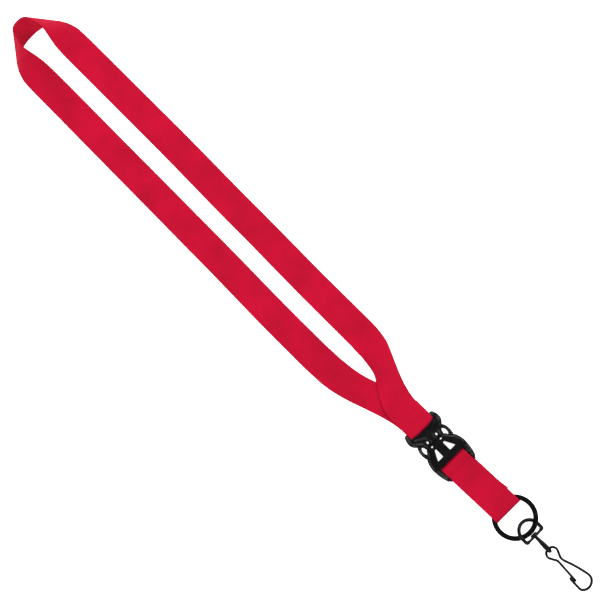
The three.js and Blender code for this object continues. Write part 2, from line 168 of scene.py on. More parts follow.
def woven_ribbon():
    """Plain-woven polyester: yarns over and under each other, soft sheen, and painted shade
    darkening both edges where the rounded selvedges turn away from the light.
    """
    m = Nodes("woven_ribbon")
    place = m.new("UVMap", uv_map=WEAVE_LAYER).outputs[0]
    parts = m.new("SeparateXYZ")
    m.put(parts.inputs[0], place)
    across, along = parts.outputs[0], parts.outputs[1]
    turn = math.pi / YARN
    warp = m.math("SINE", m.math("MULTIPLY", across, turn))
    weft = m.math("SINE", m.math("MULTIPLY", along, turn * 0.8))
    cross = m.math("MULTIPLY", warp, weft)
    yarns = m.noise(m.stretched(place, (2600, 130, 1)), 1.0, 3.0, 0.6)
    picks = m.noise(m.stretched(place, (160, 1900, 1)), 1.0, 2.0, 0.5)
    clouds = m.noise(m.coordinates(), 38.0, 3.0, 0.55)
    fine = m.math("ADD", yarns, m.math("MULTIPLY", picks, 0.5))
    height = m.math("ADD", m.math("MULTIPLY", cross, 0.42), fine)
    streaks = m.math("ADD", m.math("MULTIPLY", yarns, 0.5), m.math("MULTIPLY", clouds, 1.1))
    shade = m.math("ADD", m.math("MULTIPLY", cross, 0.10), streaks)
    body = m.mix(m.range(shade, 0.5, 1.05, 0.0, 1.0), RED_DEEP, RED)
    # painted shade: the colour darkens towards both edges, standing in for the rounded selvedges
    # turning away from the light
    edge = m.range(m.math("ABSOLUTE", across), SHADED_EDGE_START, SHADED_EDGE_END, 0.0, 0.5)
    colour = m.mix(edge, body, RED_EDGE_SHADE)
    rough = m.range(yarns, 0.3, 0.7, 0.62, 0.8)
    return m.finish(
        Base_Color=colour,
        Roughness=rough,
        Normal=m.bump(height, 0.00009, 0.55),
        Sheen_Weight=0.08,
        Sheen_Roughness=0.5,
        Sheen_Tint=(1.0, 0.08, 0.12, 1.0),
        Specular_IOR_Level=0.06,
    )


def twisted_thread():
    """Sewing thread: fine plies twisted round each other."""
    m = Nodes("twisted_thread")
    place = m.coordinates()
    ply = m.new("TexWave", wave_type="BANDS", bands_direction="DIAGONAL")
    m.put(ply.inputs["Vector"], place)
    ply.inputs["Scale"].default_value = 900.0
    ply.inputs["Distortion"].default_value = 1.5
    fuzz = m.noise(place, 5200.0, 2.0)
    # painted light: the lighter thread red offsets the shade around and between the stitches
    colour = m.mix(m.math("MULTIPLY", ply.outputs["Fac"], 0.3), THREAD_RED_LIT, RED_DEEP)
    height = m.math("ADD", ply.outputs["Fac"], fuzz)
    return m.finish(
        Base_Color=colour,
        Roughness=m.range(fuzz, 0.3, 0.7, 0.5, 0.7),
        Normal=m.bump(height, 0.00005, 0.5),
        Sheen_Weight=0.1,
        Sheen_Tint=(1.0, 0.1, 0.15, 1.0),
        Specular_IOR_Level=0.1,
    )


def moulded_plastic():
    """Black acetal: a faint orange-peel skin, flow clouds and fine handling scuffs."""
    m = Nodes("moulded_plastic")
    place = m.coordinates()
    skin = m.noise(place, 2600.0, 3.0, 0.6)
    clouds = m.noise(place, 160.0, 3.0, 0.5)
    scuffs = m.noise(m.stretched(place, (900, 9000, 2500)), 1.0, 4.0, 0.7)
    colour = m.mix(m.range(clouds, 0.3, 0.7, 0.0, 1.0), PLASTIC_BLACK, PLASTIC_CLOUD)
    worn = m.new("NewGeometry").outputs["Pointiness"]
    colour = m.mix(m.range(worn, 0.52, 0.60, 0.0, 0.35), colour, PLASTIC_WORN)
    base = m.range(clouds, 0.3, 0.7, 0.2, 0.3)
    rough = m.math("ADD", base, m.range(scuffs, 0.62, 0.72, 0.0, 0.16))
    height = m.math("ADD", skin, m.math("MULTIPLY", clouds, 0.6))
    return m.finish(
        Base_Color=colour,
        Roughness=rough,
        Normal=m.bump(height, 0.00004, 0.25),
        Specular_IOR_Level=0.25,
    )


def lacquered_metal():
    """Black-lacquered steel: thin drawn lines along the wire, tiny pits and rubbed high spots."""
    m = Nodes("lacquered_metal")
    place = m.coordinates()
    lines = m.noise(m.stretched(place, (5200, 900, 5200)), 1.0, 3.0, 0.6)
    pits = m.noise(place, 3400.0, 2.0, 0.5)
    clouds = m.noise(place, 230.0, 3.0, 0.5)
    colour = m.mix(m.range(clouds, 0.3, 0.7, 0.0, 1.0), LACQUER_BLACK, LACQUER_CLOUD)
    worn = m.new("NewGeometry").outputs["Pointiness"]
    high_spots = m.range(worn, 0.53, 0.62, 0.0, 1.0)
    rub = m.math("MULTIPLY", high_spots, m.range(lines, 0.45, 0.6, 0.0, 0.5))
    colour = m.mix(rub, colour, LACQUER_WORN)
    base = m.range(lines, 0.3, 0.7, 0.22, 0.34)
    rough = m.math("ADD", base, m.range(pits, 0.62, 0.72, 0.0, 0.1))
    return m.finish(
        Base_Color=colour,
        Metallic=0.1,
        Roughness=rough,
        Normal=m.bump(m.math("ADD", lines, pits), 0.00003, 0.3),
        Specular_IOR_Level=0.12,
    )


RIBBON = woven_ribbon()
THREAD = twisted_thread()
PLASTIC = moulded_plastic()
METAL = lacquered_metal()

# ---------------------------------------------------------------- building helpers

DOME_ANGLES = (75, 50, 25)


def add_mesh(name, verts, faces, material, shade=True):
    mesh = bpy.data.meshes.new(name)
    mesh.from_pydata([tuple(v) for v in verts], [], faces)
    mesh.materials.append(material)
    mesh.validate()
    mesh.update()
    if shade:
        mesh.shade_smooth()
    obj = bpy.data.objects.new(name, mesh)
    scene.collection.objects.link(obj)
    return obj


def place_piece(obj, body, slot, *nodes):
    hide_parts(*nodes)
    if body:
        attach(obj, body)
    return obj


def catmull(points, count):
    """count points, evenly numbered, on an open Catmull-Rom curve through the given ones."""
    pts = np.array(points, float)
    pts = np.vstack([2 * pts[0] - pts[1], pts, 2 * pts[-1] - pts[-2]])
    spans = len(pts) - 3
    out = []
    for i in range(count):
        u = spans * i / (count - 1)
        k = min(int(u), spans - 1)
        t = u - k
        p0, p1, p2, p3 = pts[k : k + 4]
        linear = (p2 - p0) * t
        square = (2 * p0 - 5 * p1 + 4 * p2 - p3) * t * t
        cubic = (3 * p1 - p0 - 3 * p2 + p3) * t**3
        out.append(0.5 * (2 * p1 + linear + square + cubic))
    return np.array(out)


def evenly(points, step):
    """The same open line, at points about step apart."""
    pts = np.array(points, float)
    gaps = np.linalg.norm(np.diff(pts, axis=0), axis=1)
    run = np.concatenate([[0], np.cumsum(gaps)])
    count = max(3, int(round(run[-1] / step)) + 1)
    at = np.linspace(0, run[-1], count)
    return np.stack([np.interp(at, run, pts[:, k]) for k in range(pts.shape[1])], axis=1)


def skin(rows, count):
    """Faces of a tube that runs through rows of count vertices each, closed at both ends."""
    faces = []
    for i in range(rows - 1):
        for k in range(count):
            a, b = i * count + k, i * count + (k + 1) % count
            faces.append((a, b, b + count, a + count))
    faces.append(tuple(reversed(range(count))))
    faces.append(tuple((rows - 1) * count + k for k in range(count)))
    return faces


def tube(points, radius, sides=14):
    """Vertices and faces of a round tube along the points, with domed ends."""
    pts = [Vector(p) for p in points]
    last = len(pts) - 1
    tangents = [(pts[min(i + 1, last)] - pts[max(i - 1, 0)]).normalized() for i in range(last + 1)]
    start = Vector((0, 0, 1)) if abs(tangents[0].z) < 0.9 else Vector((0, 1, 0))
    normal = (start - tangents[0] * start.dot(tangents[0])).normalized()
    frames = []
    for tangent in tangents:
        normal = (normal - tangent * normal.dot(tangent)).normalized()
        frames.append((normal.copy(), tangent.cross(normal)))
    head, tail = [], []
    for angle in DOME_ANGLES:
        sine, cosine = math.sin(math.radians(angle)), math.cos(math.radians(angle))
        head.append((pts[0] - tangents[0] * radius * sine, radius * cosine, frames[0]))
        tail.append((pts[-1] + tangents[-1] * radius * sine, radius * cosine, frames[-1]))
    middle = [(centre, radius, axes) for centre, axes in zip(pts, frames)]
    stations = head + middle + tail[::-1]
    verts = []
    for centre, r, (n, b) in stations:
        for k in range(sides):
            a = 2 * math.pi * k / sides
            verts.append(centre + n * (r * math.cos(a)) + b * (r * math.sin(a)))
    return verts, skin(len(stations), sides)


def merge_parts(parts):
    verts, faces = [], []
    for v, f in parts:
        base = len(verts)
        verts.extend(v)
        faces.extend(tuple(base + i for i in face) for face in f)
    return verts, faces


def prism(outline, low, high, holes=()):
    """A straight-walled plate between two heights, with holes through it."""
    loops = [[Vector((x, y, 0)) for x, y in ring] for ring in (outline, *holes)]
    flat = [p for loop in loops for p in loop]
    caps = tessellate_polygon(loops)
    n = len(flat)
    verts = [(p.x, p.y, low) for p in flat] + [(p.x, p.y, high) for p in flat]
    faces = []
    for a, b, c in caps:
        turn = (flat[b] - flat[a]).cross(flat[c] - flat[a]).z
        up = (a, b, c) if turn > 0 else (a, c, b)
        faces += [tuple(n + i for i in up), tuple(reversed(up))]
    start = 0
    for index, loop in enumerate(loops):
        count = len(loop)
        area = sum(p.x * q.y - q.x * p.y for p, q in zip(loop, loop[1:] + loop[:1]))
        forward = (area > 0) == (index == 0)
        for k in range(count):
            i, j = start + k, start + (k + 1) % count
            if not forward:
                i, j = j, i
            faces.append((i, j, n + j, n + i))
        start += count
    return verts, faces


def circle(x, y, rx, ry, count=28):
    angles = [2 * math.pi * k / count for k in range(count)]
    return [(x + rx * math.cos(a), y + ry * math.sin(a)) for a in angles]


def baked(obj):
    """A new mesh of the object as its modifiers leave it."""
    shown = obj.evaluated_get(bpy.context.evaluated_depsgraph_get())
    return bpy.data.meshes.new_from_object(shown)


def drilled(part, drill):
    """part with the closed drill shape taken out of it."""
    a = add_mesh("part", *part, None, False)
    b = add_mesh("drill", *drill, None, False)
    difference = a.modifiers.new("difference", "BOOLEAN")
    difference.operation = "DIFFERENCE"
    difference.solver = "EXACT"
    difference.object = b
    mesh = baked(a)
    result = [tuple(v.co) for v in mesh.vertices], [tuple(f.vertices) for f in mesh.polygons]
    for o in (a, b):
        bpy.data.objects.remove(o)
    return result


def moulded(name, parts, material, voxel=0.17):
    """The parts fused into one skin with softly rounded joins, as a moulding has."""
    verts, faces = merge_parts(parts)
    obj = add_mesh(name, verts, faces, material)
    remesh = obj.modifiers.new("fuse", "REMESH")
    remesh.mode = "VOXEL"
    remesh.voxel_size = voxel
    soften = obj.modifiers.new("soften", "SMOOTH")
    soften.factor = 0.5
    soften.iterations = 3
    mesh = baked(obj)
    old = obj.data
    obj.modifiers.clear()
    mesh.materials.clear()
    mesh.materials.append(material)
    obj.data = mesh
    bpy.data.meshes.remove(old)
    mesh.name = name
    for v in mesh.vertices:
        v.co = point(*v.co)
    mesh.shade_smooth()
    return obj


def in_frame(part, where):
    """A part's vertices moved by where, a matrix in millimetres, and on to the row frame."""
    verts, faces = part
    return [point(*(where @ Vector(v))) for v in verts], faces


def mirrored(right):
    """A closed outline from its right half, which runs from the top's middle to the bottom's."""
    right = [tuple(p) for p in right]
    left = [(-x, y) for x, y in reversed(right) if abs(x) > 1e-6]
    return right + left


# ---------------------------------------------------------------- ribbon

WIDTH = 20.6
THICK = 0.9
LAYER = THICK + 0.3
FLAT_Z = THICK / 2 + 0.02
STRAND_X = 16.0
MERGE_START_Y, MERGE_END_Y = 68.0, 2.0
OVERLAP_START_Y, OVERLAP_FULL_Y = 105.0, 45.0
TAIL_END_Y, TAIL_CLEAR_Y = 12.0, 26.0
FLAT_TOP_Y = 332.5
ARCH_FOOT_Y = 330
STRAND_TILT = math.radians(38)
STRAND_BOW = 2.6
STRAND_CURL = 0.08
RIPPLE = 0.35
BAR_Z = 4.0
MALE_BAR_RADIUS = 1.4
BAR_GAP = 0.3
BAR_WRAP = MALE_BAR_RADIUS + BAR_GAP + THICK / 2
LEFT_WANDER = [
    (0, 0), (60, 0.3), (85, -0.4), (110, -0.55), (180, 0.15), (260, 0.4), (330, 0.6),
]
RIGHT_WANDER = [(0, 0), (60, -0.5), (110, -0.55), (180, 0.15), (260, 1.05), (330, 1.15)]

# The loop's top, where each strand rolls onto its edge and folds round into the other: the right
# strand's inner and outer edges, from the arch's middle down to where the strand lies flat. They
# are drawn for a ribbon 20 mm wide.
DRAWN_WIDTH = 20
ARCH_EDGES = [
    ((0, 382.7, 19.2), (0, 376.5, 0.2)),
    ((1.9, 382.6, 19.1), (5, 376.25, 0.2)),
    ((3.7, 382.3, 18.8), (10.5, 375, 0.2)),
    ((5.2, 381.6, 18.3), (16.2, 372.2, 0.25)),
    ((6.2, 380.5, 17.8), (20.2, 369.7, 0.28)),
    ((6.9, 378, 17.1), (20.9, 368.8, 0.3)),
    ((7.8, 375, 16.5), (21.3, 368.2, 0.33)),
    ((8.8, 371.7, 15.9), (21.6, 367.7, 0.35)),
    ((9.15, 367.6, 15), (22, 366.9, 0.37)),
    ((8.4, 364, 13), (23.5, 363.9, 0.4)),
    ((7.4, 360.2, 9.2), (24.8, 360, 0.43)),
    ((6.5, 356, 5.2), (25.6, 356, 0.46)),
    ((6.1, 350, 2), (25.9, 350, 0.47)),
    ((6, 342, 0.6), (26, 342, 0.47)),
    ((6, 334, 0.47), (26, 334, 0.47)),
]


def ribbon_mesh(name, sections, material):
    """A ribbon with round selvedges through the sections, and its length. A section is its middle
    and the way from there to one edge, in millimetres."""
    half, depth = WIDTH / 2, THICK / 2
    flat = half - depth
    top = [(-flat + 2 * flat * i / 20, depth) for i in range(21)]
    turns = [math.pi / 5 * k for k in range(1, 5)]
    right = [(flat + depth * math.sin(a), depth * math.cos(a)) for a in turns]
    profile = top + right + [(-s, -h) for s, h in top] + [(-s, -h) for s, h in right]
    verts, spots, run = [], [], 0.0
    last = len(sections) - 1
    for i, (centre, across) in enumerate(sections):
        travel = (sections[min(i + 1, last)][0] - sections[max(i - 1, 0)][0]).normalized()
        face = across.cross(travel).normalized()
        if i:
            run += (centre - sections[i - 1][0]).length
        for s, h in profile:
            verts.append(centre + across * (s / half) + face * h)
            spots.append((s * MM, (run + across.dot(travel) * s / half) * MM))
    faces = skin(len(sections), len(profile))
    obj = add_mesh(name, [point(*v) for v in verts], faces, material)
    layer = obj.data.uv_layers.new(name=WEAVE_LAYER)
    for loop in obj.data.loops:
        layer.data[loop.index].uv = spots[loop.vertex_index]
    return obj, run


def path_sections(path, step, x_at=lambda y: 0.0):
    """Sections along a Y, Z path in the middle of the ribbon, its width along X."""
    across = Vector((-WIDTH / 2, 0, 0))
    return [(Vector((x_at(y), y, z)), across) for y, z in evenly(path, step)]


def mirror_section(section):
    centre, across = section
    return Vector((-centre.x, centre.y, centre.z)), Vector((-across.x, across.y, across.z))


def arch_sections(steps=8):
    """The right half of the arch, from its middle down to the flat strand."""
    stations = [[(-x, y, z) for x, y, z in edges] for edges in ARCH_EDGES[:0:-1]] + ARCH_EDGES
    count = (len(stations) - 1) * steps + 1
    inner, outer = (catmull([edges[k] for edges in stations], count) for k in (0, 1))
    sections = []
    for a, b in zip(inner, outer):
        across = Vector((a - b) / 2) * (WIDTH / DRAWN_WIDTH)
        centre = Vector((a + b) / 2)
        centre.z += abs(across.z) * (1 - DRAWN_WIDTH / WIDTH)
        sections.append((centre, across))
    return sections[(len(ARCH_EDGES) - 1) * steps :]


def strand_section(y):
    """The right strand as it lies flat, closing on the left one and resting on the sewn tail."""
    merged = smooth((MERGE_START_Y - y) / (MERGE_START_Y - MERGE_END_Y))
    ahead = smooth((MERGE_START_Y - y + 0.5) / (MERGE_START_Y - MERGE_END_Y))
    heading = math.atan2(2 * STRAND_X * (ahead - merged), 1)
    over_tail = LAYER * smooth((TAIL_CLEAR_Y - y) / (TAIL_CLEAR_Y - TAIL_END_Y))
    across = Vector((-math.cos(heading), math.sin(heading), 0)) * (WIDTH / 2)
    return Vector((STRAND_X * (1 - merged), y, FLAT_Z + over_tail)), across


def wander(y, knots):
    for (y0, x0), (y1, x1) in zip(knots, knots[1:]):
        if y <= y1:
            return x0 + (x1 - x0) * smooth((y - y0) / (y1 - y0))
    return knots[-1][1]


def laid(section, side):
    """How a strand really lies: it wanders a little sideways and ripples slightly. Where the two
    close, the right one leans on the left one and the left one curls in at its outer edge."""
    centre, across = section
    x, y, z = centre
    rightness = (1 + x / STRAND_X) / 2 if y > ARCH_FOOT_Y else float(side > 0)
    raised = overlap = 0.0
    if side > 0:
        tilt = STRAND_TILT * smooth((67 - y) / 30) * smooth((y - 11) / 30)
        across = across * (1 - 0.1 * tilt)
        reach = -across.x
        raised = reach * math.sin(tilt)
        across = Vector((-reach * math.cos(tilt), across.y, across.z - raised))
        x += reach + across.x + 1.3 * tilt
        x -= STRAND_BOW * math.sin(math.pi * min(max((54 - y) / 50, 0), 1))
        overlap = smooth((OVERLAP_START_Y - y) / (OVERLAP_START_Y - OVERLAP_FULL_Y))
    else:
        curl = STRAND_CURL * smooth((64 - y) / 26) * smooth((y - 8) / 20)
        x -= curl * WIDTH / 2
        across = across * (1 - curl)
    left, right = (wander(y, knots) for knots in (LEFT_WANDER, RIGHT_WANDER))
    x += left + (right - left) * min(max(rightness, 0.0), 1.0)
    calm = smooth((y - 60) / 60) * smooth((325 - y) / 30)
    lift = RIPPLE * calm * max(0.0, noise.noise(Vector((y * 0.021, 5.0 * side, 0))) + 0.6)
    return Vector((x, y, z + lift + raised + LAYER * overlap)), across


def neck_strap():
    ys = np.arange(FLAT_TOP_Y, 4.0, -1.5)
    half = arch_sections() + [strand_section(float(y)) for y in ys]
    left = [laid(mirror_section(s), -1) for s in half[:0:-1]]
    right = [laid(s, 1) for s in half if s[0].y > 7.2]
    wrap = [(6.4, 3.0), (5, 3.25), (3, 4.15), (1, 5.2), (-1, 5.95)]
    for i in range(19):
        angle = math.pi / 2 + math.pi * i / 18
        wrap.append((BAR_Y + BAR_WRAP * math.cos(angle), BAR_Z + BAR_WRAP * math.sin(angle)))
    wrap += [(-0.5, 1.4), (2, 0.7), (4, FLAT_Z), (TAIL_END_Y, FLAT_Z)]
    sections = left + right + path_sections(wrap, 0.4)
    strap, length = ribbon_mesh("ribbon_neck_loop", sections, RIBBON)
    place_piece(strap, "neck_loop", "ribbon", "neck_strap")
    return strap, length


TACK_TURNS = 44
TACK_HALF_WIDTH, TACK_REACH = 8.6, 0.9
THREAD_RADIUS = 0.11


def stitches(name, middle, y, z):
    """A bar tack: short threads laid zigzag across the ribbon, each diving into it at its ends."""
    x0, x1 = middle - TACK_HALF_WIDTH, middle + TACK_HALF_WIDTH
    parts = []
    for i in range(TACK_TURNS):
        side = 1 if i % 2 else -1
        a = x0 + (x1 - x0) * i / TACK_TURNS
        b = x0 + (x1 - x0) * (i + 1) / TACK_TURNS
        line = []
        for k in range(7):
            t = k / 6
            rise = 0.08 * math.sin(math.pi * t) - 0.07
            line.append((a + (b - a) * t, y + side * TACK_REACH * (2 * t - 1), z + rise))
        parts.append(tube(line, THREAD_RADIUS, 7))
    verts, faces = merge_parts(parts)
    return add_mesh(name, [point(*v) for v in verts], faces, THREAD)


neck, neck_length = neck_strap()
neck_tack = stitches("thread_neck_seam", 0.0, 8.5, 3.38)
place_piece(neck_tack, "neck_loop", "thread", "neck_seam_thread")

# ---------------------------------------------------------------- short strap

RING_BAR_Y, RING_Z = -77.2, 3.8
FEMALE_BAR_Y = -32.4
SHORT_BEND_Y, SHORT_SLANT = -36.0, 0.036
FEMALE_BAR_RADIUS = 1.1
WRAP = FEMALE_BAR_RADIUS + BAR_GAP + THICK / 2
FIRST_LAYER_SECTIONS = 70


def short_slant(y):
    return SHORT_SLANT * max(0.0, SHORT_BEND_Y - y)


def arc(y, z, radius, start, stop, count):
    angles = [math.radians(start + (stop - start) * i / count) for i in range(count + 1)]
    return [(y + radius * math.cos(a), z + radius * math.sin(a)) for a in angles]


def short_strap():
    """One ribbon: from its end below the seam, round the buckle's bar, over the top and round the
    ring. The end peeks out at one side, and the bar draws the ribbon in a little."""
    low, high = RING_Z - THICK / 2, RING_Z + THICK / 2
    under = low - THICK - 0.02
    path = [(-68.6, low + 0.2), (-66, low), (-41, low), (-38, low - 0.35)]
    path += arc(FEMALE_BAR_Y, 4.0, WRAP, -90, 90, 14)
    path += [(-34.5, 5.6), (-36.5, 5.2), (-38.5, high + 0.25), (-41, high)]
    path += [(-64.5, high), (-67.2, high + 0.35)]
    path += [(-69.8, RING_Z + WRAP - 0.1), (-72, RING_Z + WRAP)]
    path += arc(RING_BAR_Y, RING_Z, WRAP, 90, 270, 16)
    path += [(-72, RING_Z - WRAP), (-69.5, RING_Z - WRAP + 0.1), (-67, under), (-61.5, under)]
    sections = []
    for i, (centre, across) in enumerate(path_sections(path, 0.45, short_slant)):
        peek = 0.55 * smooth((-60 - centre.y) / 8) if i < FIRST_LAYER_SECTIONS else 0.0
        drawn_in = smooth((centre.y + 43) / 10)
        aside = Vector((peek - 0.3 * drawn_in, 0, 0))
        sections.append((centre + aside, across * (1 - 0.045 * drawn_in)))
    strap, length = ribbon_mesh("ribbon_short", sections, RIBBON)
    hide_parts("short_strap")
    return strap, length


short, short_length = short_strap()
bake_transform(short)
short_tack = stitches("thread_short_seam", 1.45, -67.0, 5.0)
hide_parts("short_seam_thread")
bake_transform(short_tack)

# ---------------------------------------------------------------- buckle

HEIGHT = 8.0
MID_Z = HEIGHT / 2
SLOT_X = 10.35
ARM_Z = 1.6


def ridge(points, radius):
    """A raised line on a moulding's face: a low tube along the points."""
    return tube([tuple(p) for p in catmull(points, 40)], radius, 10)


def ridge_pair(points, radius, z=None):
    """The same ridge on both halves of a moulding. z is the height of points that have none."""
    points = [p if z is None else (*p, z) for p in points]
    return [ridge([(side * x, y, height) for x, y, height in points], radius) for side in (1, -1)]


def u_shape(outer_right, inner_right):
    """A symmetrical outline open in the middle: down the outside, across, and up the inside."""
    outer = [tuple(p) for p in outer_right]
    inner = [tuple(p) for p in inner_right]
    left = [(-x, y) for x, y in reversed(outer)]
    return outer + left + [(-x, y) for x, y in inner] + inner[::-1]


def cross_bar(y, radius):
    """The round bar that a ribbon is folded over."""
    return tube([(x, y, MID_Z) for x in (-11.4, -4, 4, 11.4)], radius, 24)


def buckle_male():
    outer = catmull([
        (10.5, 0.3), (11.7, -0.2), (13.2, -2.4), (13.7, -4.9), (13.5, -7.2), (12.5, -9.0),
        (11.1, -10.5), (10.3, -11.8), (9.0, -12.6), (8.1, -13.6), (7.8, -15.1),
    ], 80)
    xs = np.linspace(SLOT_X, 0.4, 18)
    lip = [(SLOT_X, 0.3)] + [(x, -5.6 + 1.9 * (x / SLOT_X) ** 2.2) for x in xs]
    square = [(SLOT_X, 0.3), (SLOT_X, -5.95), (0.4, -5.95)]
    edge = SLOT_X + 0.2
    ledge = [(-edge, -6.4), (-edge, -5.3), (edge, -5.3), (edge, -6.4)]
    tongue = [(-2.2, -14), (-2.2, -25.2), (-1.6, -26), (1.6, -26), (2.2, -25.2), (2.2, -14)]
    root = [(7.5, -14.5), (-7.5, -14.5), (-7.5, -15.8), (7.5, -15.8)]
    holes = [circle(side * 3.98, -12.75, 0.64, 0.96) for side in (-1, 1)]
    parts = [
        prism(u_shape(outer, lip), 0.4, 1.95, holes),
        prism(u_shape(outer, square), 1.9, HEIGHT - 1.9, holes),
        prism(u_shape(outer, lip), HEIGHT - 1.95, HEIGHT - 0.7, holes),
        prism(ledge, 0.4, 1.3),
        cross_bar(BAR_Y, MALE_BAR_RADIUS),
        prism(tongue, MID_Z - 1.5, MID_Z + 1.5),
        prism(root, MID_Z - 1.4, MID_Z + 1.4),
    ]
    shoulder = [(11.6, -1.3), (12.25, -3.4), (12.35, -5.6), (11.9, -7.6), (10.6, -9.4)]
    neck_line = [(10.4, -8.4), (8.6, -9.8), (6.9, -11.3), (6.2, -13.0), (6.0, -14.8)]
    inner_line = [(9.0, -6.2), (6.2, -7.9), (3.4, -9.6), (2.2, -11.6), (1.9, -14.8)]
    for z in (HEIGHT - 1.35, 1.35):
        parts += ridge_pair(shoulder, 1.15, z)
    for z in (HEIGHT - 0.62, 0.62):
        parts += ridge_pair(neck_line, 0.45, z)
        parts += ridge_pair(inner_line, 0.34, z)
    obj = moulded("buckle_male", parts, PLASTIC)
    return place_piece(obj, "buckle_male", "black_plastic", "buckle_male_frame")


def squeeze_arm(side):
    outer = catmull([
        (10.9, -10.3), (12.0, -12.4), (12.5, -15.0), (12.5, -17.4), (12.1, -19.6), (11.4, -22),
        (10.4, -26.3),
    ], 40)
    inner = catmull([
        (8.9, -26.3), (9.0, -24), (9.2, -21.8), (9.35, -19.8), (9.5, -18.2), (9.95, -17.3),
        (10.25, -16.3), (10.3, -15.0), (9.9, -13.5), (9.0, -12.4),
    ], 40)
    outline = [(side * x, y) for x, y in [*outer, *inner]]
    crest = [(10.9, -12.2), (11.55, -15.4), (11.45, -18.4), (10.6, -21.8)]
    parts = [prism(outline, MID_Z - ARM_Z, MID_Z + ARM_Z)]
    for z in (MID_Z + ARM_Z - 0.25, MID_Z - ARM_Z + 0.25):
        parts.append(ridge([(side * x, y, z) for x, y in crest], 0.55))
    for k in range(6):
        y = -13.6 - 1.15 * k
        x = 12.5 - 0.022 * (y + 16.2) ** 2
        rib = [(x, MID_Z - 1.1), (x + 0.05, MID_Z), (x, MID_Z + 1.1)]
        parts.append(tube([(side * out, y, z) for out, z in rib], 0.22, 8))
    name = "left" if side < 0 else "right"
    obj = moulded(f"buckle_arm_{name}", parts, PLASTIC, 0.14)
    return place_piece(obj, f"arm_{name}", "black_plastic", f"squeeze_arm_{name}")


def buckle_female():
    half = catmull([
        (0, -15.4), (3, -15.4), (6.2, -15.4), (7.7, -15.8), (8.6, -16.8), (9.4, -18.0),
        (11.5, -19.9), (13.0, -22.4), (13.9, -25.6), (14.25, -28.3), (14.2, -29.8),
    ], 70)
    outline = mirrored([*half, (0, -29.8)])
    shelf = MID_Z - ARM_Z - 0.3
    window = [
        (3.15, -19.7), (3.4, -19.35), (4.15, -19.35), (4.5, -19.8), (7.65, -25.7), (7.5, -26.0),
        (3.4, -26.0), (3.15, -25.75),
    ]
    holes = []
    for side in (-1, 1):
        holes.append([(side * x, y) for x, y in window])
        holes.append(circle(side * 3.9, -16.75, 0.7, 0.62))
    low = [(x, y) for x, y in half if y < -27.1 and x > 9]
    block = [(0, -27.0), (13.9, -27.0), *low, (0, -29.8)]
    brow = [(0, -28.0), (11.6, -28.0), (11.6, -30.3), (10.4, -30.7), (0, -30.7)]
    guard = catmull([(11.5, -40.3), (10.4, -41.2), (8.2, -42.1), (4, -42.2), (0, -42.2)], 24)
    # a black shelf standing in for shade: it sits under the strap's fold and closes the slot,
    # where only shade would show, so the bright floor doesn't shine through
    shade_sill = [(10.9, -31.1), (10.9, -29.4), (-10.9, -29.4), (-10.9, -31.1)]
    parts = [
        prism(outline, 0, shelf, holes),
        prism(outline, HEIGHT - shelf, HEIGHT, holes),
        prism(mirrored(block), 0.4, HEIGHT - 0.4),
        prism(mirrored(brow), HEIGHT - shelf + 0.1, HEIGHT - 0.3),
        prism(mirrored([(0, -40.3), *guard]), 0.2, 1.9),
        prism(shade_sill, 0.2, 1.85),
    ]
    wall = [
        (12.2, -22.6), (13.0, -23.1), (13.8, -26), (14.0, -28.3), (14.0, -30.5), (12.2, -30.5),
    ]
    side_wall = catmull([
        (13.9, -28.6), (14.1, -30.4), (13.9, -33), (13.2, -36.6), (12.2, -39.0), (11.0, -40.6),
    ], 40)
    side_wall = [*side_wall, (SLOT_X, -40.6), (SLOT_X, -28.5)]
    flange = [(9.6, -30.0), (9.6, -40.6), (10.9, -40.6), (12.0, -38.8), (12.0, -30.0)]
    walls = [(wall, 0.4, HEIGHT - 0.4), (side_wall, 0.5, HEIGHT - 2.2), (flange, 0.3, 1.5)]
    for side in (-1, 1):
        for shape, bottom, top in walls:
            parts.append(prism([(side * x, y) for x, y in shape], bottom, top))
    parts.append(cross_bar(FEMALE_BAR_Y, FEMALE_BAR_RADIUS))
    guard_crest = [
        (12.4, -29.6, 5.55), (12.45, -32.4, 5.6), (12.05, -35.6, 5.45), (11.6, -37.6, 5.0),
        (11.35, -38.8, 4.2),
    ]
    guard_line = [
        (13.0, -28.7, 5.5), (13.35, -31.0, 5.3), (13.1, -34.0, 5.2), (12.5, -36.8, 4.9),
        (11.8, -38.6, 4.4),
    ]
    parts += ridge_pair(guard_crest, 1.2)
    parts += ridge_pair(guard_line, 0.42)
    rim = [
        (5.8, -16.4), (7.6, -17.4), (9.4, -20.0), (11.5, -22.3), (12.8, -25.4), (13.2, -28.3),
    ]
    tongue_line = [(1.9, -15.9), (2.0, -19.0), (2.0, -26.8)]
    window_line = [(5.9, -18.4), (7.6, -21.4), (9.3, -25.0), (9.6, -27.2)]
    for z in (HEIGHT - 0.3, 0.3):
        parts += ridge_pair(rim, 0.5, z)
        parts += ridge_pair(tongue_line, 0.34, z)
        parts += ridge_pair(window_line, 0.38, z)
    obj = moulded("buckle_female", parts, PLASTIC)
    return place_piece(obj, "buckle_female", "black_plastic", "buckle_female_frame")


buckle_male()
squeeze_arm(-1)
squeeze_arm(1)
buckle_female()

# ---------------------------------------------------------------- ring and swivel hook

RING_X, RING_Y = 1.65, -84.6
RING_INNER, RING_OUTER = 11.45, 14.65
COIL_HALF_HEIGHT, COIL_CORNER = 0.5, 0.3
COIL_STEPS = 300
SWIVEL_X = 2.4
BAIL_Y, BAIL_SPAN, BAIL_WIRE = -97.3, 7.45, 1.2
FOOT_Y = -101.2
HOOK_Y = -113.0


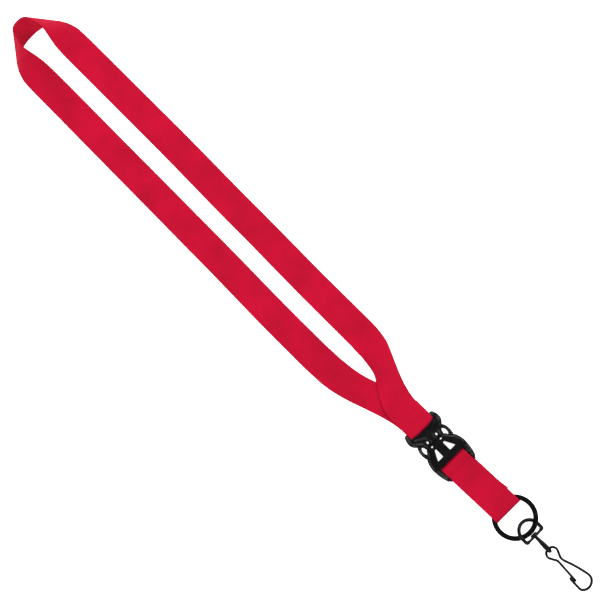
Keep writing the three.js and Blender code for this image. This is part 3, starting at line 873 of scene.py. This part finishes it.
def key_ring():
    """A split ring: two turns of flat wire, pressed together, with a step where each turn ends."""
    profile = []
    w, h, r = (RING_OUTER - RING_INNER) / 2, COIL_HALF_HEIGHT, COIL_CORNER
    corners = ((w - r, h - r, 0), (-w + r, h - r, 90), (-w + r, -h + r, 180), (w - r, -h + r, 270))
    for cx, cz, start in corners:
        for k in range(4):
            a = math.radians(start + 30 * k)
            profile.append((cx + r * math.cos(a), cz + r * math.sin(a)))
    start_angle = math.radians(62)
    mid = (RING_INNER + RING_OUTER) / 2
    verts = []
    for i in range(COIL_STEPS + 1):
        t = 2 * i / COIL_STEPS
        angle = start_angle + t * 2 * math.pi
        crossing = smooth((t - 0.93) / 0.14)
        z = RING_Z - 0.56 + 1.12 * crossing
        taper = 1.0 - 0.25 * (1 - smooth(t / 0.03)) - 0.25 * (1 - smooth((2 - t) / 0.03))
        for u, v in profile:
            x = RING_X + (mid + u) * math.cos(angle)
            y = RING_Y + (mid + u) * math.sin(angle)
            verts.append(point(x, y, z + v * taper))
    obj = add_mesh("key_ring_coils", verts, skin(COIL_STEPS + 1, len(profile)), METAL)
    return place_piece(obj, "ring", "black_metal", "key_ring")


def bail():
    """The swivel's stirrup: bowed wire with a flattened, drilled foot."""
    span, foot = BAIL_SPAN, FOOT_Y - BAIL_Y
    end = [(span - 1.5, foot), (span - 0.35, foot + 0.15), (span, foot + 1.1), (span, -1.4)]
    bow = [(span * math.cos(a), span * math.sin(a)) for a in np.linspace(0, math.pi, 25)]
    line = end + bow + [(-x, y) for x, y in reversed(end)]
    parts = [tube([(x, y, 0) for x, y in evenly(catmull(line, 160), 0.35)], BAIL_WIRE, 16)]
    top, bottom = foot + 0.75, foot - 0.95
    flat_parts = [prism(circle(0, 0, 2.15, 2.15, 40), bottom, top, [circle(0, 0, 1.35, 1.35, 32)])]
    half_foot = [(1.7, -0.85), (6.8, -0.85), (6.8, 0.85), (1.7, 0.85)]
    for side in (-1, 1):
        flat_parts.append(prism([(side * x, y) for x, y in half_foot], bottom, top))
    for verts, faces in flat_parts:
        parts.append(([(x, z, -y) for x, y, z in verts], faces))
    obj = moulded("swivel_bail_wire", parts, METAL, 0.13)
    lean = Matrix.Rotation(math.radians(22), 4, "Y")
    turn = Matrix.Translation((SWIVEL_X, BAIL_Y, RING_Z)) @ lean
    back = Matrix.Translation((0, -COLLAR_TOP, 0)) @ Matrix.Scale(1 / MM, 4)
    for v in obj.data.vertices:
        v.co = point(*(turn @ (back @ v.co)))
    return place_piece(obj, "bail", "black_metal", "swivel_bail")


def lathe(profile, sides=48):
    """A turned part about the Y axis through the swivel's middle, from radius and Y."""
    verts, faces = [], []
    for r, y in profile:
        for k in range(sides):
            a = 2 * math.pi * k / sides
            verts.append((r * math.cos(a), y, r * math.sin(a)))
    for i in range(len(profile) - 1):
        for k in range(sides):
            a, b = i * sides + k, i * sides + (k + 1) % sides
            faces.append((a, a + sides, b + sides, b))
    faces.append(tuple(range(sides)))
    faces.append(tuple(reversed([(len(profile) - 1) * sides + k for k in range(sides)])))
    return verts, faces


def post():
    """The turned pin that the hook hangs from: a head above the bail's foot and a drilled bulb."""
    bulb = [
        (0.02, -115.5), (0.5, -115.4), (1.0, -115.0), (1.5, -113.8), (1.75, -111.8),
        (1.65, -108.5), (1.25, -104.8), (1.08, -102.4), (1.05, -100.7), (1.05, -100.45),
    ]
    head = [
        (2.3, -100.42), (2.4, -100.3), (2.4, -99.8), (2.25, -99.6), (1.9, -99.5), (1.2, -99.46),
        (0.02, -99.45),
    ]
    hole = tube([(x, HOOK_Y, 0) for x in (-4, -1, 1, 4)], 0.9, 20)
    body = drilled(lathe(catmull(bulb, 60).tolist() + head), hole)
    where = Matrix.Translation((SWIVEL_X, 0, RING_Z))
    obj = add_mesh("swivel_post_turned", *in_frame(body, where), METAL)
    bevel = obj.modifiers.new("edges", "BEVEL")
    bevel.width = 0.0001
    bevel.segments = 2
    bevel.limit_method = "ANGLE"
    normals = obj.modifiers.new("normals", "WEIGHTED_NORMAL")
    normals.keep_sharp = True
    return place_piece(obj, "post", "black_metal", "swivel_post")


def bent_wire(route, count, step, radius):
    """A wire bent in the hook's plane."""
    return tube([(x, y, 0) for x, y in evenly(catmull(route, count), step)], radius, 14)


def hook():
    """The hook droops a little from the cross hole, with its gate."""
    eye = Matrix.Translation((SWIVEL_X, HOOK_Y, RING_Z))
    droop = eye @ Matrix.Rotation(math.radians(5.4), 4, "X") @ Matrix.Translation((0, -HOOK_Y, 0))
    route = [
        (-0.9, -122.3), (-1.35, -121.1), (-2.8, -118.6), (-3.75, -116.4), (-3.3, -114.5),
        (-1.9, -113.15), (0, -113), (2.0, -113.1), (3.4, -114.3), (4.0, -116.2), (3.2, -118.6),
        (2.05, -121.1), (1.8, -122.9), (2.3, -125.2), (4.4, -131.2), (6.2, -138.2), (6.8, -142),
        (6.1, -144.5), (3.9, -146.5), (1.2, -147.2), (-1.5, -146.5), (-3.35, -144.6),
        (-3.5, -142.5), (-3.4, -138.6), (-3.35, -136),
    ]
    body = merge_parts([bent_wire(route, 300, 0.35, 0.86), catch()])
    wire = add_mesh("hook_wire_bent", *in_frame(body, droop), METAL)
    place_piece(wire, "hook", "black_metal", "hook_wire")
    gate_route = [(-0.92, -123), (-1.1, -126.5), (-1.42, -132), (-1.75, -138.2)]
    gate_body = bent_wire(gate_route, 60, 0.4, 0.82)
    gate = add_mesh("hook_gate_bent", *in_frame(gate_body, droop), METAL)
    place_piece(gate, "gate", "black_metal", "hook_gate_wire")


def catch():
    """The folded tab at the hook's nose: the sheet bends round the nose wire and leaves a mouth
    for the gate."""
    outer = [
        (-1.6, 1.15), (-3.3, 1.15), (-3.75, 0.8), (-3.9, 0.3), (-3.9, -0.3), (-3.75, -0.8),
        (-3.3, -1.15), (-1.6, -1.15),
    ]
    inner = [
        (-1.6, -0.8), (-3.15, -0.8), (-3.3, -0.5), (-3.35, 0.0), (-3.3, 0.5), (-3.15, 0.8),
        (-1.6, 0.8),
    ]
    ring = outer + inner
    verts = [(x, y, z) for y in (-138.4, -134.8) for x, z in ring]
    return verts, skin(2, len(ring))


key_ring()
bail()
post()
hook()

# ---------------------------------------------------------------- floor, light and camera

floor_material = Nodes("pale_floor")
grain = floor_material.noise(floor_material.coordinates(), 90.0, 4.0)
floor_colour = floor_material.mix(grain, (0.90, 0.90, 0.90), (0.93, 0.93, 0.93))
floor_material.finish(
    Base_Color=floor_colour,
    Roughness=0.9,
    Normal=floor_material.bump(grain, 0.0001, 0.1),
    Specular_IOR_Level=0.0,
    Emission_Color=(1.0, 1.0, 1.0, 1.0),
    Emission_Strength=1.0,
)
floor_corners = [(-2, -2, 0), (2, -2, 0), (2, 2, 0), (-2, 2, 0)]
floor = add_mesh("floor", floor_corners, [(0, 1, 2, 3)], floor_material.material, False)

world = bpy.data.worlds.new("studio")
world.use_nodes = True
sky = world.node_tree.nodes["Background"]
sky.inputs["Color"].default_value = (1.0, 1.0, 1.0, 1.0)
sky.inputs["Strength"].default_value = 0.25
scene.world = world


LIGHT_DISTANCE, LIGHT_SIZE = 1.3, 0.7


def softbox(name, azimuth, elevation, power):
    """A square area light that faces the origin. The azimuth turns clockwise from +Y."""
    light = bpy.data.lights.new(name, "AREA")
    light.shape = "SQUARE"
    light.size = LIGHT_SIZE
    light.energy = power
    obj = bpy.data.objects.new(name, light)
    scene.collection.objects.link(obj)
    a, e = math.radians(azimuth), math.radians(elevation)
    way = Vector((math.sin(a) * math.cos(e), math.cos(a) * math.cos(e), math.sin(e)))
    obj.location = way * LIGHT_DISTANCE
    obj.rotation_euler = (-obj.location).to_track_quat("-Z", "Y").to_euler()


softbox("light_key", 45, 42, 12)
softbox("light_fill", 225, 42, 8)
softbox("light_left", 285, 40, 7)
softbox("light_right", 105, 40, 7)

TILT = math.radians(10)
DISTANCE = 0.922
LOOK_AT = point(2.89, 112.35, 0)
camera_data = bpy.data.cameras.new("camera")
camera_data.lens = 83.94
camera_data.sensor_width = 36
camera_data.clip_start = 0.01
camera = bpy.data.objects.new("camera", camera_data)
scene.collection.objects.link(camera)
back = Vector((0, -math.sin(TILT), math.cos(TILT)))
level_right, level_up = Vector((1, 0, 0)), Vector((0, math.cos(TILT), math.sin(TILT)))
right = (level_right - level_up).normalized()
up = (level_right + level_up).normalized()
turned = Matrix((right, up, back)).transposed().to_4x4()
camera.matrix_world = Matrix.Translation(LOOK_AT + back * DISTANCE) @ turned
scene.camera = camera
scene.view_settings.view_transform = "Standard"
